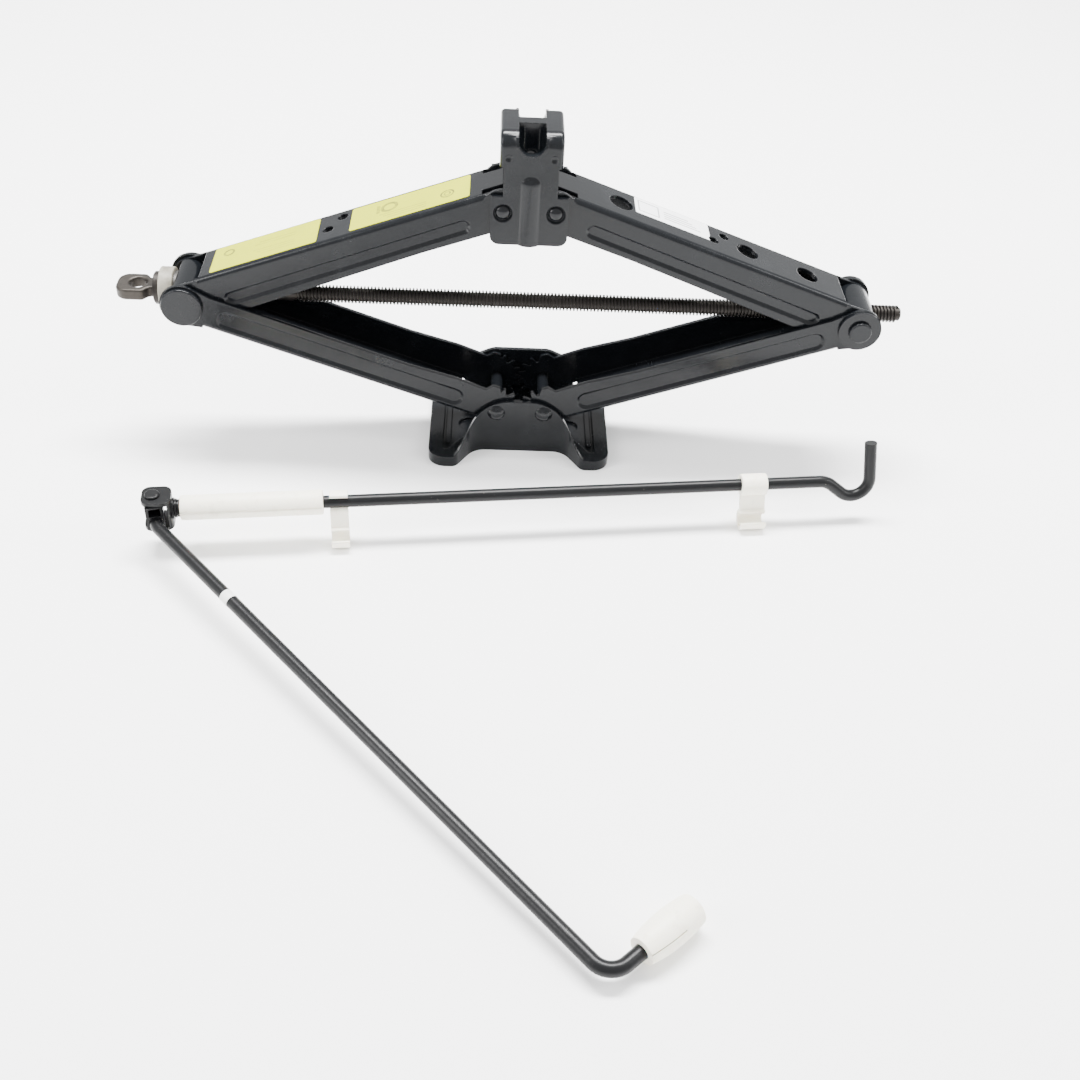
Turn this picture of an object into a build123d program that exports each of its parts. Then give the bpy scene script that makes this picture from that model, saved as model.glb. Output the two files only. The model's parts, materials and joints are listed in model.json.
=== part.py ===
from build123d import *
import os
from math import asin, atan, cos, radians, sin

os.makedirs("parts", exist_ok=True)

# Scissor jack with its folding crank handle. Millimetres, +Z up.
# X runs along the lead screw (the nut end is +X), the front is -Y.
# The origin is on the ground, under the middle of the base.

# Linkage
ARM_LENGTH = 190.0  # pivot to pivot
ARM_ANGLE = 20.0  # slope of the arms as modelled
PIVOT_HALF = 14.25  # half the distance between the two base pivots, and the two saddle pivots
BASE_PIVOT_Z = 28.0
TRUNNION_X = PIVOT_HALF + ARM_LENGTH * cos(radians(ARM_ANGLE))
TRUNNION_Z = BASE_PIVOT_Z + ARM_LENGTH * sin(radians(ARM_ANGLE))
SADDLE_PIVOT_Z = TRUNNION_Z + ARM_LENGTH * sin(radians(ARM_ANGLE))

# Sheet metal
ARM_SHEET = 2.2
LOWER_OUTER = 19.0  # half width over a lower arm
LOWER_INNER = LOWER_OUTER - ARM_SHEET
UPPER_OUTER = LOWER_INNER - 0.2
UPPER_INNER = UPPER_OUTER - ARM_SHEET
FOLD = 3.0  # outside radius of an arm's folds
BEAD_DEPTH = 1.4  # how deep the long beads are pressed into the arm walls
BEAD_DRAFT = 50.0  # slope of their sides

# Sector gears on the arm ends
TOOTH_PITCH = 24.0  # degrees, fifteen teeth to a full turn
ROOT_R = 12.0
TIP_R = 15.75
TOOTH_ROOT = 1.75  # half thicknesses of a tooth
TOOTH_MID = 1.2
TOOTH_TIP = 0.55

# Base
BASE_HALF_X = 54.5
BASE_HALF_Y = 39.2
BASE_WAIST_Y = 21.7
BASE_SHEET = 2.5
TRAY_HEIGHT = 7.0
BASE_FLANGE_Z = 36.0
REAR_FLANGE_Z = 46.5

# Saddle
SADDLE_TOP = 202.0
SADDLE_SHEET = 2.6
SADDLE_INNER = LOWER_INNER
SADDLE_OUTER = SADDLE_INNER + SADDLE_SHEET
SKIRT_BOTTOM = SADDLE_PIVOT_Z - 18.5
DISH_R = 5.3  # dished seats of the rivet heads
DISH_DEPTH = 1.3

# Pivots
RUNNING = 0.06  # radial clearance of a pin that turns in its hole
BASE_PIN_R = 3.6
SADDLE_PIN_R = 3.4
TRUNNION_R = 11.0
TRUNNION_PIN_R = 6.5

# Lead screw
SCREW_R = 5.0
SCREW_RIGHT = 220.2
EYE_LEFT = -232.5
COLLAR_LEFT = -211.0
COLLAR_RIGHT = -207.4
RING_RIGHT = -199.3
FACE_X = -TRUNNION_X - 4.5  # flat milled on the left trunnion for the thrust washer

# Handle
ROD_R = 3.5
HINGE_X = -198.1
HINGE_Y = -115.2
HINGE_Z = 25.0
HOOK_TURN = 6.3  # heading of the hook rod, degrees from +X
HOOK_LEAN = 75.0  # tilt of the hook's plane out of the floor
CLEVIS_HALF = 9.5
CLEVIS_SHEET = 2.2
CRANK_TURN = -47.6
CRANK_START = (-195.3, -125.7, 21.7)
CRANK_LENGTH = 344.0
ENTRY = 7.2  # straight end of the crank, let into the swivel
CRANK_FALL = 13.1  # the crank slopes down from the hinge to its knob
LEG_TURN = 41.2  # heading of the crank's short leg
GRIP_START = 18.6
GRIP_END = 50.8
SLIT_LENGTH = 19.0


def save(piece, name):
    piece.part.label = name
    export_step(piece.part, "parts/" + name + ".step")


def arm_plane(side, level):
    """Plane of an arm: x runs out along the arm from its gear end, y is the side that faces up."""
    slope = radians(ARM_ANGLE) * level
    x_dir = (side * cos(slope), 0, sin(slope))
    height = BASE_PIVOT_Z if level > 0 else SADDLE_PIVOT_Z
    return Plane(origin=(side * PIVOT_HALF, 0, height), x_dir=x_dir, z_dir=(0, -side, 0))


def web_plane(side, level, height):
    """Plane on an arm's folded web: x along the arm, z out of the web."""
    arm = arm_plane(side, level)
    return Plane(origin=arm.from_local_coords((0, height, 0)), x_dir=arm.x_dir, z_dir=arm.y_dir)


def wall_plane(arm, face, half_width):
    """Plane on an arm's side wall with z into the wall; its y is the arm's y on the -1 face."""
    origin = arm.origin + arm.z_dir * (face * half_width)
    return Plane(origin=origin, x_dir=arm.x_dir, z_dir=arm.z_dir * -face)


def gear_sector(centre_line, turn, count, first):
    """Root disc and a run of teeth, spaced from the line that joins the two pivots."""
    Circle(ROOT_R)
    for number in range(count):
        angle = centre_line + turn * TOOTH_PITCH * (first + number)
        with Locations(Rot(0, 0, angle)):
            Polygon(
                (ROOT_R - 2, TOOTH_ROOT),
                (ROOT_R, TOOTH_ROOT),
                (PIVOT_HALF, TOOTH_MID),
                (TIP_R, TOOTH_TIP),
                (TIP_R, -TOOTH_TIP),
                (PIVOT_HALF, -TOOTH_MID),
                (ROOT_R, -TOOTH_ROOT),
                (ROOT_R - 2, -TOOTH_ROOT),
                align=None,
            )


# ---------------------------------------------------------------- base
def base_outline():
    """Plan of the base: four feet joined by a narrower waist."""
    waist_x = 27.0
    tip_x = 38.0
    with BuildLine(mode=Mode.PRIVATE) as outline:
        Polyline(
            (waist_x, -BASE_WAIST_Y),
            (tip_x, -BASE_HALF_Y),
            (BASE_HALF_X, -BASE_HALF_Y),
            (BASE_HALF_X, BASE_HALF_Y),
            (tip_x, BASE_HALF_Y),
            (waist_x, BASE_WAIST_Y),
            (-waist_x, BASE_WAIST_Y),
            (-tip_x, BASE_HALF_Y),
            (-BASE_HALF_X, BASE_HALF_Y),
            (-BASE_HALF_X, -BASE_HALF_Y),
            (-tip_x, -BASE_HALF_Y),
            (-waist_x, -BASE_WAIST_Y),
            close=True,
        )
    make_face(outline.edges())


def rounded_base(inset):
    with BuildSketch(Plane.XY) as sketch:
        base_outline()
        corners = sketch.vertices()
        fillet(corners.filter_by(lambda v: abs(v.X) < 30), 12)
        fillet(sketch.vertices().filter_by(lambda v: 30 < abs(v.X) < 39 and abs(v.Y) > 39), 5)
        fillet(sketch.vertices().filter_by(lambda v: abs(v.X) > 54), 10)
        if inset:
            offset(amount=-inset, kind=Kind.INTERSECTION)
    return sketch.sketch


def flange_profile(rear):
    """Outline, seen from the front, that the turned-up flanges are cut to."""
    with BuildLine(mode=Mode.PRIVATE) as outline:
        Polyline((-60, 0), (-60, 7), (-39, 7))
        if rear:
            Spline((-39, 7), (-33.5, 25), (-27.5, 40), (-17, 46.2), (0, REAR_FLANGE_Z), tangents=((1, 0.6), (1, 0)))
        else:
            Spline((-39, 7), (-30.5, 18), (-22.5, 29), (-12, 35.2), (0, BASE_FLANGE_Z), tangents=((1, 0.6), (1, 0)))
        Line((0, REAR_FLANGE_Z if rear else BASE_FLANGE_Z), (0, 0))
        Line((0, 0), (-60, 0))
    make_face(outline.edges())
    mirror(about=Plane.YZ)


outer_plan = rounded_base(0)
wall_plan = rounded_base(BASE_SHEET)
band_plan = rounded_base(6)
pan_plan = rounded_base(6 + BASE_SHEET)

with BuildPart() as flange_cut:
    with BuildSketch(Plane.XZ):
        flange_profile(rear=False)
    extrude(amount=60)
    with BuildSketch(Plane.XZ):
        flange_profile(rear=True)
    extrude(amount=-60)

with BuildPart() as base_plate:
    # skirt and flanges, one upright band of sheet cut to the flange outline
    add(extrude(outer_plan, REAR_FLANGE_Z, mode=Mode.PRIVATE))
    add(extrude(wall_plan, REAR_FLANGE_Z, mode=Mode.PRIVATE), mode=Mode.SUBTRACT)
    add(flange_cut.part, mode=Mode.INTERSECT)
    # raised rim round the feet, then the step down to the pan
    add(extrude(Plane.XY.offset(TRAY_HEIGHT - BASE_SHEET) * outer_plan, BASE_SHEET, mode=Mode.PRIVATE))
    add(extrude(Plane.XY.offset(1) * band_plan, TRAY_HEIGHT - 1, mode=Mode.PRIVATE))
    add(extrude(Plane.XY.offset(1 + BASE_SHEET) * pan_plan, TRAY_HEIGHT, mode=Mode.PRIVATE), mode=Mode.SUBTRACT)
    # long dished recess in the pan and a stiffening bead down each foot
    with BuildSketch(Plane.XY.offset(1 + BASE_SHEET - 1.6)):
        SlotOverall(74, 12)
    extrude(amount=TRAY_HEIGHT, mode=Mode.SUBTRACT)
    for side in (-1, 1):
        with BuildSketch(Plane.XY.offset(1 + BASE_SHEET)):
            with Locations((side * 43, 0)):
                SlotOverall(44, 3.2, rotation=90)
        extrude(amount=1.6)
    # pivot holes through both flanges
    with BuildSketch(Plane.XZ):
        with Locations((-PIVOT_HALF, BASE_PIVOT_Z), (PIVOT_HALF, BASE_PIVOT_Z)):
            Circle(BASE_PIN_R + 0.02)
    extrude(amount=30, both=True, mode=Mode.SUBTRACT)
save(base_plate, "base_plate")


def rivet_profile(shank_r, half_length, head_r, head_height):
    """Half section of a pin with a domed head closed over each end."""
    dome_r = (head_r**2 + head_height**2) / (2 * head_height)
    half_angle = asin(head_r / dome_r) / 2
    shoulder = (dome_r * sin(half_angle), half_length + head_height - dome_r * (1 - cos(half_angle)))
    with BuildLine(mode=Mode.PRIVATE) as outline:
        Polyline((head_r, -half_length), (shank_r, -half_length), (shank_r, half_length), (head_r, half_length))
        ThreePointArc((head_r, half_length), shoulder, (0, half_length + head_height))
        Line((0, half_length + head_height), (0, -half_length - head_height))
        ThreePointArc((0, -half_length - head_height), (shoulder[0], -shoulder[1]), (head_r, -half_length))
    make_face(outline.edges())


with BuildPart() as base_pivot_rivets:
    for side in (-1, 1):
        with BuildSketch(Plane(origin=(side * PIVOT_HALF, 0, BASE_PIVOT_Z))):
            rivet_profile(BASE_PIN_R, BASE_WAIST_Y, 5.2, 2.3)
        revolve(axis=Axis((side * PIVOT_HALF, 0, BASE_PIVOT_Z), (0, 1, 0)))
save(base_pivot_rivets, "base_pivot_rivets")


# ---------------------------------------------------------------- arms
LOWER_WEB = -9.5  # outside of the lower arm's web, below the pivot line
LOWER_TOP = 10.6
UPPER_WEB = 11.5  # outside of the upper arm's web, above the pivot line
LOWER_EAR_R = 12.5
UPPER_EAR_R = 11.0


def channel_section(arm, web, outer, inner):
    """U section of an arm, square to its length, open on the side away from the web."""
    up = 1 if web < 0 else -1
    with BuildSketch(Plane(origin=arm.origin, x_dir=arm.z_dir * -1, z_dir=arm.x_dir)) as section:
        with Locations((0, web + up * 20)):
            Rectangle(2 * outer, 40)
        fillet(section.vertices().group_by(Axis.Y)[0 if web < 0 else -1], FOLD)
        with Locations((0, web + up * (20 + ARM_SHEET))):
            Rectangle(2 * inner, 40, mode=Mode.SUBTRACT)
    return section.sketch


def lower_wall():
    """Side view of a lower arm's channel, with a stop shoulder by the gear."""
    with BuildLine(mode=Mode.PRIVATE) as outline:
        Polyline(
            (0, LOWER_WEB),
            (188, LOWER_WEB),
            (188, LOWER_TOP),
            (60, LOWER_TOP),
            (30, 12.3),
            (11, 11.6),
            (8, 15.6),
            (3.6, 15.8),
            (1, 11),
            close=True,
        )
    make_face(outline.edges())


def ear(radius, neck_top, neck_bottom):
    """Round ear at the trunnion and the stretch of wall that widens into it."""
    with Locations((ARM_LENGTH, 0)):
        Circle(radius)
    Polygon((176, neck_bottom), (ARM_LENGTH, -radius), (ARM_LENGTH, radius), (176, neck_top), align=None)


def lower_arm(side):
    plane = arm_plane(side, 1)
    teeth, first = (6, -2) if side < 0 else (7, -2.5)
    with BuildPart() as arm:
        section = channel_section(plane, LOWER_WEB, LOWER_OUTER, LOWER_INNER)
        extrude(section, amount=200)
        with BuildSketch(plane, mode=Mode.PRIVATE) as wall:
            lower_wall()
        extrude(wall.sketch, amount=30, both=True, mode=Mode.INTERSECT)
        for face in (-1, 1):
            with BuildSketch(plane.offset(face * LOWER_INNER)):
                gear_sector(180 - ARM_ANGLE, -1, teeth, first)
                ear(LOWER_EAR_R, LOWER_TOP, LOWER_WEB)
            extrude(amount=face * ARM_SHEET)
        # the web stops short of both ends
        with BuildSketch(plane):
            with Locations((-20, 0), (ARM_LENGTH + 15, 0)):
                Rectangle(80, 60)
        extrude(amount=LOWER_INNER, both=True, mode=Mode.SUBTRACT)
        # long bead pressed into each wall
        for face in (-1, 1):
            with BuildSketch(wall_plane(plane, face, LOWER_OUTER)):
                with Locations((95.5, -0.3 * -face)):
                    SlotOverall(149, 11.6)
            extrude(amount=BEAD_DEPTH, taper=BEAD_DRAFT, mode=Mode.SUBTRACT)
        with BuildSketch(plane):
            Circle(BASE_PIN_R + RUNNING)
            with Locations((ARM_LENGTH, 0)):
                Circle(TRUNNION_PIN_R + RUNNING)
        extrude(amount=30, both=True, mode=Mode.SUBTRACT)
    return arm


def upper_wall():
    """Side view of an upper arm's channel, deepest near the trunnion."""
    with BuildLine(mode=Mode.PRIVATE) as outline:
        Polyline(
            (0, 8),
            (7, UPPER_WEB),
            (177, UPPER_WEB),
            (186, 6),
            (186, -6),
            (172, -8.5),
            (165, -10.8),
            (154, -13.8),
            (100, -12),
            (50, -10.6),
            (0, -10.6),
            close=True,
        )
    make_face(outline.edges())


def upper_arm(side):
    plane = arm_plane(side, -1)
    web = web_plane(side, -1, UPPER_WEB)
    teeth, first = (6, -2) if side < 0 else (7, -2.5)
    with BuildPart() as arm:
        section = channel_section(plane, UPPER_WEB, UPPER_OUTER, UPPER_INNER)
        extrude(section, amount=200)
        with BuildSketch(plane, mode=Mode.PRIVATE) as wall:
            upper_wall()
        extrude(wall.sketch, amount=30, both=True, mode=Mode.INTERSECT)
        for face in (-1, 1):
            with BuildSketch(plane.offset(face * UPPER_INNER)):
                gear_sector(180 + ARM_ANGLE, 1, teeth, first)
                ear(UPPER_EAR_R, UPPER_WEB - 1, -8)
            extrude(amount=face * ARM_SHEET)
        # the web stops short of both ends
        with BuildSketch(plane):
            with Locations((-32, 0), (ARM_LENGTH + 25, 0)):
                Rectangle(80, 60)
        extrude(amount=UPPER_INNER, both=True, mode=Mode.SUBTRACT)
        # tongue of web that runs in under the saddle between two relief slots
        with BuildSketch(web):
            with Locations((2.5, 0)):
                Rectangle(13, 19)
        extrude(amount=-ARM_SHEET)
        for face in (-1, 1):
            with BuildSketch(wall_plane(plane, face, UPPER_OUTER)):
                with Locations((93, -3.9 * -face)):
                    SlotOverall(147, 8.4, rotation=face)
            extrude(amount=BEAD_DEPTH, taper=BEAD_DRAFT, mode=Mode.SUBTRACT)
        with BuildSketch(web):
            if side > 0:
                with Locations((34.6, 0)):
                    Circle(7.0)
                with Locations((113.3, 0), (152.2, 0)):
                    Circle(6.7)
                with Locations((99, 7), (91.5, -2)):
                    Circle(3.0)
            else:
                with Locations((90, -7.5), (98, 2.5)):
                    Circle(3.2)
        extrude(amount=-5, mode=Mode.SUBTRACT)
        with BuildSketch(plane):
            Circle(SADDLE_PIN_R + RUNNING)
            with Locations((ARM_LENGTH, 0)):
                Circle(TRUNNION_PIN_R + RUNNING)
        extrude(amount=30, both=True, mode=Mode.SUBTRACT)
    return arm


save(lower_arm(-1), "lower_left_arm")
save(lower_arm(1), "lower_right_arm")
save(upper_arm(-1), "upper_left_arm")
save(upper_arm(1), "upper_right_arm")


# ---------------------------------------------------------------- saddle
def saddle_outline():
    """Front view of the saddle: wide skirt, narrower neck and a wide head."""
    shoulder = 167.5
    with BuildSketch(Plane.XZ) as front:
        with Locations((0, (SKIRT_BOTTOM + shoulder) / 2)):
            Rectangle(42, shoulder - SKIRT_BOTTOM)
        fillet(front.vertices().group_by(Axis.Y)[0], 5)
        with Locations((0, 176)):
            Rectangle(29, 20)
        with Locations((0, 194)):
            Rectangle(33.4, 20)
    return front.sketch


def saddle_rib(face, radius):
    """Upright half-round rib with a domed top, centred on the wall."""
    centre_y = face * (SADDLE_OUTER + 2.2 - 7.97)
    with Locations((0, centre_y, 174)):
        Sphere(radius)
    with BuildSketch(Plane.XY.offset(SKIRT_BOTTOM), mode=Mode.PRIVATE) as round_section:
        with Locations((0, centre_y)):
            Circle(radius)
    extrude(round_section.sketch, amount=174 - SKIRT_BOTTOM)


with BuildPart() as saddle_ribs:
    for face in (-1, 1):
        saddle_rib(face, 7.97)

with BuildPart() as saddle_rib_hollows:
    for face in (-1, 1):
        saddle_rib(face, 7.97 - SADDLE_SHEET)

# turned-out lip round the slot, over each bend of the saddle
SLOT_R = 7.15
SLOT_Z = 198.2
LIP = 1.5
with BuildPart() as slot_lips:
    with BuildSketch(Plane.XZ):
        with Locations((0, SLOT_Z)):
            Circle(SLOT_R + LIP)
        with Locations((0, SLOT_Z + 1.2)):
            Rectangle(2 * (SLOT_R + LIP), 2.4)
        with Locations((0, SLOT_Z + 7.4)):
            Rectangle(30, 10, mode=Mode.SUBTRACT)
    extrude(amount=30, both=True)
    with BuildSketch(Plane.YZ) as lip_section:
        with Locations((0, (SKIRT_BOTTOM + SADDLE_TOP) / 2)):
            Rectangle(2 * (SADDLE_OUTER + 1), SADDLE_TOP - SKIRT_BOTTOM + 2)
        fillet(lip_section.vertices().group_by(Axis.Y)[-1], 9)
    extrude(amount=21, both=True, mode=Mode.INTERSECT)

with BuildPart() as saddle:
    with BuildSketch(Plane.YZ) as section:
        with Locations((0, (SKIRT_BOTTOM + SADDLE_TOP) / 2)):
            Rectangle(2 * SADDLE_OUTER, SADDLE_TOP - SKIRT_BOTTOM)
        fillet(section.vertices().group_by(Axis.Y)[-1], 8)
    extrude(amount=21, both=True)
    add(extrude(saddle_outline(), 30, both=True, mode=Mode.PRIVATE), mode=Mode.INTERSECT)
    add(saddle_ribs.part)
    add(slot_lips.part)
    with BuildSketch(Plane.YZ) as hollow:
        with Locations((0, (SKIRT_BOTTOM + SADDLE_TOP) / 2 - SADDLE_SHEET)):
            Rectangle(2 * SADDLE_INNER, SADDLE_TOP - SKIRT_BOTTOM)
        fillet(hollow.vertices().group_by(Axis.Y)[-1], 8 - SADDLE_SHEET)
    extrude(amount=40, both=True, mode=Mode.SUBTRACT)
    add(saddle_rib_hollows.part, mode=Mode.SUBTRACT)
    # slot for the sill seam, front and rear of a middle strap
    for face in (-1, 1):
        with BuildSketch(Plane.XZ.offset(face * 3.4)):
            with Locations((0, SLOT_Z)):
                Circle(SLOT_R)
            with Locations((0, SLOT_Z + 5)):
                Rectangle(2 * SLOT_R, 10)
        extrude(amount=face * 30, mode=Mode.SUBTRACT)
    # tongues turned down from the strap
    for face in (-1, 1):
        with BuildSketch(Plane.XZ.offset(face * 1.2)):
            with Locations((0, 194)):
                Rectangle(8, 13)
        extrude(amount=face * 2.2)
    with BuildSketch(Plane.XZ):
        with Locations((-PIVOT_HALF, SADDLE_PIVOT_Z), (PIVOT_HALF, SADDLE_PIVOT_Z)):
            Circle(SADDLE_PIN_R + 0.02)
    extrude(amount=40, both=True, mode=Mode.SUBTRACT)
    # each rivet sits in a dish, and two dimples lock the fold over each wall
    for face in (-1, 1):
        for side in (-1, 1):
            dish_origin = (side * PIVOT_HALF, face * SADDLE_OUTER, SADDLE_PIVOT_Z)
            with BuildSketch(Plane(origin=dish_origin, x_dir=(1, 0, 0), z_dir=(0, -face, 0))):
                Circle(DISH_R)
            extrude(amount=DISH_DEPTH, taper=35, mode=Mode.SUBTRACT)
            with Locations((side * 12, face * (SADDLE_OUTER + 1.8), 189.5)):
                Sphere(2.8, mode=Mode.SUBTRACT)
save(saddle, "saddle")

with BuildPart() as saddle_pivot_rivets:
    for side in (-1, 1):
        with BuildSketch(Plane(origin=(side * PIVOT_HALF, 0, SADDLE_PIVOT_Z))):
            rivet_profile(SADDLE_PIN_R, SADDLE_OUTER - DISH_DEPTH, 4.2, 2.2)
        revolve(axis=Axis((side * PIVOT_HALF, 0, SADDLE_PIVOT_Z), (0, 1, 0)))
save(saddle_pivot_rivets, "saddle_pivot_rivets")


# ---------------------------------------------------------------- trunnions
DRUM_HALF = UPPER_INNER - 0.2
PIN_END = 20.2  # the pins run into the caps
CAP_R = 11.5
CAP_INNER = LOWER_OUTER + 0.15
WASHER_R = 12.2
WASHER_THICK = 1.8
STUB_R = 4.5

with BuildPart() as left_trunnion:
    with BuildSketch(Plane(origin=(-TRUNNION_X, 0, TRUNNION_Z), x_dir=(1, 0, 0), z_dir=(0, -1, 0))):
        Circle(TRUNNION_R)
        with Locations((-14.5, 0)):
            Rectangle(20, 40, mode=Mode.SUBTRACT)
    extrude(amount=DRUM_HALF, both=True)
    with BuildSketch(Plane(origin=(-TRUNNION_X, 0, TRUNNION_Z), x_dir=(1, 0, 0), z_dir=(0, -1, 0))):
        Circle(TRUNNION_PIN_R)
        with Locations((-14.5, 0)):
            Rectangle(20, 40, mode=Mode.SUBTRACT)
    extrude(amount=PIN_END, both=True)
    with BuildSketch(Plane.YZ.offset(-TRUNNION_X)):
        with Locations((0, TRUNNION_Z)):
            Circle(SCREW_R + RUNNING)
    extrude(amount=20, both=True, mode=Mode.SUBTRACT)
save(left_trunnion, "left_trunnion")

with BuildPart() as trunnion_caps:
    for face in (-1, 1):
        with BuildSketch(Plane.XZ.offset(face * CAP_INNER)):
            with Locations((-TRUNNION_X, TRUNNION_Z)):
                Circle(CAP_R)
        extrude(amount=face * 2.6)
    fillet(trunnion_caps.edges().filter_by(GeomType.CIRCLE).filter_by(lambda e: abs(e.center().Y) > 21), 0.8)
    add(left_trunnion.part, mode=Mode.SUBTRACT)
save(trunnion_caps, "trunnion_caps")

with BuildPart() as nut_trunnion:
    nut_plane = Plane(origin=(TRUNNION_X, 0, TRUNNION_Z), x_dir=(1, 0, 0), z_dir=(0, -1, 0))
    with BuildSketch(nut_plane):
        Circle(TRUNNION_R)
    extrude(amount=DRUM_HALF, both=True)
    with BuildSketch(nut_plane):
        Circle(TRUNNION_PIN_R)
    extrude(amount=LOWER_OUTER + 0.1, both=True)
    with BuildSketch(nut_plane):
        Circle(STUB_R)
    extrude(amount=LOWER_OUTER + 0.1 + WASHER_THICK, both=True)
    # ends staked over the washers
    for face in (-1, 1):
        with BuildSketch(nut_plane.offset(face * (LOWER_OUTER + 0.1 + WASHER_THICK))):
            Circle(6.5)
        extrude(amount=face * 2.4)
    fillet(nut_trunnion.edges().filter_by(GeomType.CIRCLE).filter_by(lambda e: abs(e.center().Y) > 23), 1.0)
    with BuildSketch(Plane.YZ.offset(TRUNNION_X)):
        with Locations((0, TRUNNION_Z)):
            Circle(SCREW_R + RUNNING)
    extrude(amount=20, both=True, mode=Mode.SUBTRACT)
save(nut_trunnion, "nut_trunnion")

with BuildPart() as nut_washers:
    for face in (-1, 1):
        with BuildSketch(nut_plane.offset(face * (LOWER_OUTER + 0.1))):
            Circle(WASHER_R)
            Circle(STUB_R, mode=Mode.SUBTRACT)
        extrude(amount=face * WASHER_THICK)
save(nut_washers, "nut_washers")


# ---------------------------------------------------------------- lead screw
EYE_HOLE_X = -220.5
EYE_HOLE_R = 5.2
EYE_HALF = 9.5
EYE_THICK = 6.6
EYE_CORNER = 6.5


def screw_plane(x):
    return Plane(origin=(x, 0, TRUNNION_Z), x_dir=(0, 1, 0), z_dir=(1, 0, 0))


with BuildPart() as lead_screw:
    with BuildSketch(screw_plane(COLLAR_LEFT)):
        Circle(SCREW_R)
    extrude(amount=SCREW_RIGHT - COLLAR_LEFT)
    chamfer(lead_screw.edges().group_by(Axis.X)[-1], 1.2)
    with BuildSketch(screw_plane(COLLAR_LEFT)):
        Circle(9.5)
    extrude(amount=COLLAR_RIGHT - COLLAR_LEFT)
    # end flattened into an eye for the handle's hook
    with BuildSketch(Plane.XY.offset(TRUNNION_Z - EYE_THICK / 2)) as eye:
        with BuildLine():
            Polyline(
                (COLLAR_LEFT, -5),
                (-214, -5.6),
                (-217, -EYE_HALF),
                (EYE_LEFT, -EYE_HALF),
                (EYE_LEFT, EYE_HALF),
                (-217, EYE_HALF),
                (-214, 5.6),
                (COLLAR_LEFT, 5),
                close=True,
            )
        make_face()
        fillet(eye.vertices().group_by(Axis.X)[0], EYE_CORNER)
        with Locations((EYE_HOLE_X, 0)):
            Circle(EYE_HOLE_R, mode=Mode.SUBTRACT)
    extrude(amount=EYE_THICK)
save(lead_screw, "lead_screw")

with BuildPart() as thrust_ring:
    with BuildSketch(screw_plane(COLLAR_RIGHT + 0.05)):
        Circle(12.2)
        Circle(SCREW_R + RUNNING, mode=Mode.SUBTRACT)
    extrude(amount=RING_RIGHT - COLLAR_RIGHT - 0.1)
    fillet(thrust_ring.edges().filter_by(GeomType.CIRCLE).group_by(SortBy.RADIUS)[-1], 0.8)
save(thrust_ring, "thrust_ring")

with BuildPart() as thrust_washer:
    with BuildSketch(screw_plane(RING_RIGHT)):
        Circle(9.9)
        Circle(SCREW_R + RUNNING, mode=Mode.SUBTRACT)
    extrude(amount=FACE_X - RING_RIGHT)
save(thrust_washer, "thrust_washer")

with BuildPart() as screw_retaining_ring:
    with BuildSketch(screw_plane(-TRUNNION_X + TRUNNION_R + 0.3)):
        Circle(7.5)
        Circle(SCREW_R, mode=Mode.SUBTRACT)
    extrude(amount=3.0)
save(screw_retaining_ring, "screw_retaining_ring")


# ---------------------------------------------------------------- labels on the arms
LABEL_THICK = 0.25


def arm_label(side, start, end, across, middle):
    with BuildPart() as label:
        with BuildSketch(web_plane(side, -1, UPPER_WEB)):
            with Locations(((start + end) / 2, middle)):
                RectangleRounded(end - start, across, 1.5)
        extrude(amount=LABEL_THICK)
    return label


save(arm_label(-1, 104, 168.5, 26.4, 0), "outer_yellow_label")
save(arm_label(-1, 15, 84.5, 25, 0), "inner_yellow_label")
with BuildPart() as white_label:
    with BuildSketch(web_plane(1, -1, UPPER_WEB)):
        with Locations((66.2, 4.6)):
            RectangleRounded(46, 17.6, 1.0)
        with Locations((91.5, -2), (99, 7)):
            Circle(3.3, mode=Mode.SUBTRACT)
    extrude(amount=LABEL_THICK)
save(white_label, "white_label")


# ---------------------------------------------------------------- handle
turn = radians(HOOK_TURN)
lean = radians(HOOK_LEAN)
hinge_point = Vector(HINGE_X, HINGE_Y, HINGE_Z)
hook_dir = Vector(cos(turn), sin(turn), 0)
level_dir = Vector(-sin(turn), cos(turn), 0)
up_dir = Vector(0, 0, 1)
hook_side = level_dir * cos(lean) + up_dir * sin(lean)


def along_hook(distance):
    """Plane square to the hook rod, x level and pointing back, z along the rod."""
    return Plane(origin=hinge_point + hook_dir * distance, x_dir=level_dir, z_dir=hook_dir)


ROD_START = 10.6
HOOK_BEND = 38.0  # the rod drops by this angle before it turns up
HOOK_BACK = 5.5  # the leg leans back by this angle
HOOK_LEG = 22.0
with BuildPart() as hook_rod:
    with BuildLine(Plane(origin=hinge_point, x_dir=hook_dir, z_dir=hook_dir.cross(hook_side))) as hook_path:
        shaft = Line((ROD_START, 0), (373.5, 0))
        drop = JernArc(shaft @ 1, shaft % 1, 12, -HOOK_BEND)
        ramp = PolarLine(drop @ 1, 8.2, direction=drop % 1)
        bottom = JernArc(ramp @ 1, ramp % 1, 10, 90 + HOOK_BEND + HOOK_BACK)
        PolarLine(bottom @ 1, HOOK_LEG, direction=bottom % 1)
    with BuildSketch(along_hook(ROD_START)):
        Circle(ROD_R)
    sweep(path=hook_path.line)
save(hook_rod, "hook_rod")

CLEVIS_WALL = 7.7  # inside of the wall that joins the two plates
NECK_START = CLEVIS_WALL + CLEVIS_SHEET
NECK_END = NECK_START + 3.6

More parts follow.
